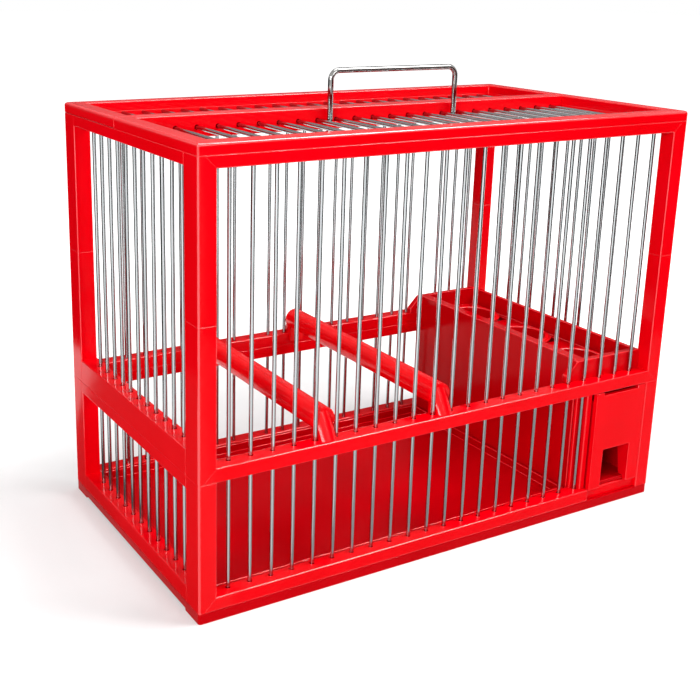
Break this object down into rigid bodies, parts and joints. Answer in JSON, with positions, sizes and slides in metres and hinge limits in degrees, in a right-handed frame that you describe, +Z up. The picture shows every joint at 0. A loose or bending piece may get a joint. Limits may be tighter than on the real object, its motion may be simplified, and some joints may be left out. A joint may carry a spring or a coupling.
{
  "type": "bird cage",
  "caption": "Small box-shaped bird cage of red moulded frames with steel wire sides and roof, hinged roof lid, carrying handle, perches, feed cups in a trough and a pull-out drawer.",
  "frame": {"origin": "centre of the cage's underside, on the floor", "axes": "+X to the right along the length as seen from the front, +Y to the back, +Z up"},
  "size_m": [0.235, 0.1353, 0.1969],
  "materials": {
    "red_plastic": "glossy bright red moulding",
    "steel_wire": "drawn steel wire",
    "bright_wire": "bright plated wire"
  },
  "bodies": {
    "cage": {"base_plinth": "red_plastic", "floor_tray": "red_plastic", "lower_frame": "red_plastic", "middle_frame": "red_plastic", "upper_frame": "red_plastic", "roof_front": "red_plastic", "hinge_pins": "steel_wire", "front_wires": "steel_wire", "back_wires": "steel_wire", "left_wires": "steel_wire", "right_wires": "steel_wire", "roof_wires": "steel_wire", "feeder_trough": "red_plastic"},
    "lid": {"roof_lid": "red_plastic", "lid_wires": "steel_wire"},
    "handle": {"handle": "bright_wire"},
    "left_perch": {"left_perch": "red_plastic"},
    "right_perch": {"right_perch": "red_plastic"},
    "front_cup": {"front_cup": "red_plastic"},
    "middle_cup": {"middle_cup": "red_plastic"},
    "back_cup": {"back_cup": "red_plastic"},
    "drawer": {"drawer_front": "red_plastic", "drawer_box": "red_plastic"}
  },
  "joints": [
    {"name": "lid_hinge", "type": "hinge", "parent": "cage", "child": "lid", "pos_m": [0, 0.06779, 0.1756], "axis": [-1, 0, 0], "range_deg": [0, 100]},
    {"name": "handle_slide", "type": "slide", "parent": "cage", "child": "handle", "axis": [0, 0, -1], "range_m": [0, 0.0135]},
    {"name": "left_perch_lift", "type": "slide", "parent": "cage", "child": "left_perch", "axis": [0, 0, 1], "range_m": [0, 0.02]},
    {"name": "right_perch_lift", "type": "slide", "parent": "cage", "child": "right_perch", "axis": [0, 0, 1], "range_m": [0, 0.02]},
    {"name": "front_cup_lift", "type": "slide", "parent": "cage", "child": "front_cup", "axis": [0, 0, 1], "range_m": [0, 0.03]},
    {"name": "middle_cup_lift", "type": "slide", "parent": "cage", "child": "middle_cup", "axis": [0, 0, 1], "range_m": [0, 0.03]},
    {"name": "back_cup_lift", "type": "slide", "parent": "cage", "child": "back_cup", "axis": [0, 0, 1], "range_m": [0, 0.03]},
    {"name": "drawer_slide", "type": "slide", "parent": "cage", "child": "drawer", "axis": [0, -1, 0], "range_m": [0, 0.08]}
  ]
}
